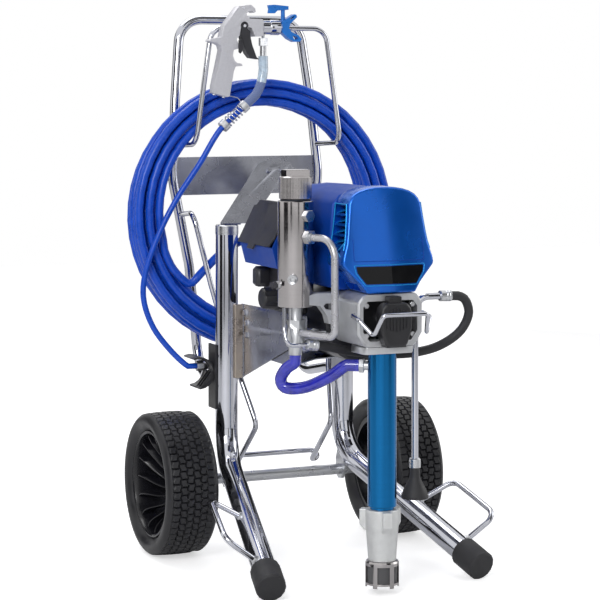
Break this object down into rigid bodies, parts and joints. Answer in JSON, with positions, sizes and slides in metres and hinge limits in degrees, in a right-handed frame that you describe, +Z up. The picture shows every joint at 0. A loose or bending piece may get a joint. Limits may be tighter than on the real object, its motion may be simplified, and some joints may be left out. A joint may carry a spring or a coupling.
{
  "type": "airless paint sprayer",
  "caption": "Cart-mounted airless paint sprayer: electric piston pump with suction strainer, fluid filter, coiled high-pressure hose and spray gun on a wheeled chrome tube frame.",
  "frame": {"origin": "on the floor, centred between the left and right sides and between the front of the pail hook and the back of the handle", "axes": "+Z up; +X to the right of someone facing the pump; -Y towards the pump, +Y towards the handle"},
  "size_m": [0.554, 0.7572, 1.016],
  "materials": {
    "chrome": "bright chrome plated steel tube and rod",
    "zinc": "bright zinc plated steel",
    "stainless": "polished stainless steel",
    "sheet": "galvanised steel sheet",
    "cast": "bead blasted cast aluminium",
    "sleeve": "blue anodised aluminium",
    "rubber": "matt black rubber",
    "tyre": "black turf tread tyre",
    "black": "matt black moulded plastic",
    "dark": "dark grey moulded plastic",
    "blue": "glossy mid blue moulded plastic",
    "side_blue": "glossy dark blue moulded plastic",
    "hose_blue": "smooth blue hose cover",
    "clear_blue": "translucent blue hose",
    "clear": "clear sleeve over woven hose",
    "white": "white coated steel pipe",
    "tip_blue": "blue moulded plastic"
  },
  "bodies": {
    "cart": {"leg_left": "chrome", "leg_right": "chrome", "foot_cap_left": "rubber", "foot_cap_right": "rubber", "axle": "zinc", "handle_loop": "chrome", "back_band": "sheet", "hose_hanger": "chrome", "lower_rack": "chrome", "gable_plate": "sheet", "side_plate_left": "sheet", "side_plate_right": "sheet", "motor_shelf": "sheet", "motor_cover": "blue", "motor_housing": "side_blue", "motor_body": "dark", "drive_housing": "cast", "rod_cover": "black", "pump_sleeve": "sleeve", "intake_housing": "cast", "clamp_plate": "zinc", "strainer_cage": "stainless", "strainer_screen": "zinc", "filter_body": "stainless", "filter_cap": "stainless", "outlet_block": "zinc", "outlet_pipe": "white", "bypass_pipe": "chrome", "return_hose": "rubber", "return_tube": "chrome", "return_cone": "rubber", "inlet_hose": "clear_blue", "tool_box": "side_blue", "control_housing": "dark", "hose_cradle": "black", "hose_joint": "zinc", "hose_coil": "hose_blue", "supply_hose": "hose_blue", "tail_hose": "hose_blue", "whip_hose": "hose_blue", "gun_body": "cast", "tip_guard": "tip_blue", "gun_nose": "chrome", "gun_inlet": "zinc", "hose_sleeve": "clear", "spring_guard": "chrome", "hose_collar_top": "zinc", "hose_collar_low": "zinc"},
    "wheel_left": {"tyre_left": "tyre", "rim_left": "black"},
    "wheel_right": {"tyre_right": "tyre", "rim_right": "black"},
    "trigger": {"trigger": "dark"},
    "trigger_lock": {"trigger_lock": "dark"},
    "spray_tip": {"spray_tip": "tip_blue"},
    "lid": {"tool_box_lid": "dark"},
    "knob": {"pressure_knob": "black"},
    "prime_handle": {"prime_handle": "dark"},
    "piston": {"piston_rod": "zinc"},
    "pail_hook": {"pail_hook": "zinc"}
  },
  "joints": [
    {"name": "wheel_left_spin", "type": "hinge", "parent": "cart", "child": "wheel_left", "pos_m": [-0.227, 0.14565, 0.13], "axis": [1, 0, 0], "continuous": true},
    {"name": "wheel_right_spin", "type": "hinge", "parent": "cart", "child": "wheel_right", "pos_m": [0.227, 0.14565, 0.13], "axis": [1, 0, 0], "continuous": true},
    {"name": "trigger_pull", "type": "hinge", "parent": "cart", "child": "trigger", "pos_m": [-0.0629, 0.19865, 0.975], "axis": [0, 1, 0], "range_deg": [0, 8], "stiffness_Nm_per_rad": 0.4, "springref_deg": -17.19},
    {"name": "trigger_lock_turn", "type": "hinge", "parent": "cart", "child": "trigger_lock", "pos_m": [-0.0739, 0.19865, 0.937], "axis": [0, 1, 0], "range_deg": [0, 90]},
    {"name": "spray_tip_turn", "type": "hinge", "parent": "cart", "child": "spray_tip", "pos_m": [0.0206, 0.19865, 0.975], "axis": [0, 0, 1], "range_deg": [0, 180]},
    {"name": "lid_hinge", "type": "hinge", "parent": "cart", "child": "lid", "pos_m": [-0.1195, -0.0886, 0.6565], "axis": [0, 1, 0], "range_deg": [0, 100]},
    {"name": "knob_turn", "type": "hinge", "parent": "cart", "child": "knob", "pos_m": [-0.1128, -0.10435, 0.49], "axis": [1, 0, 0], "range_deg": [0, 300]},
    {"name": "prime_turn", "type": "hinge", "parent": "cart", "child": "prime_handle", "pos_m": [-0.16059, -0.19872, 0.522], "axis": [1, 0, 0], "range_deg": [0, 90]},
    {"name": "piston_stroke", "type": "slide", "parent": "cart", "child": "piston", "axis": [0, 0, 1], "range_m": [-0.012, 0.012]},
    {"name": "pail_hook_swing", "type": "hinge", "parent": "cart", "child": "pail_hook", "pos_m": [0, -0.30435, 0.477], "axis": [1, 0, 0], "range_deg": [-15, 25]}
  ]
}
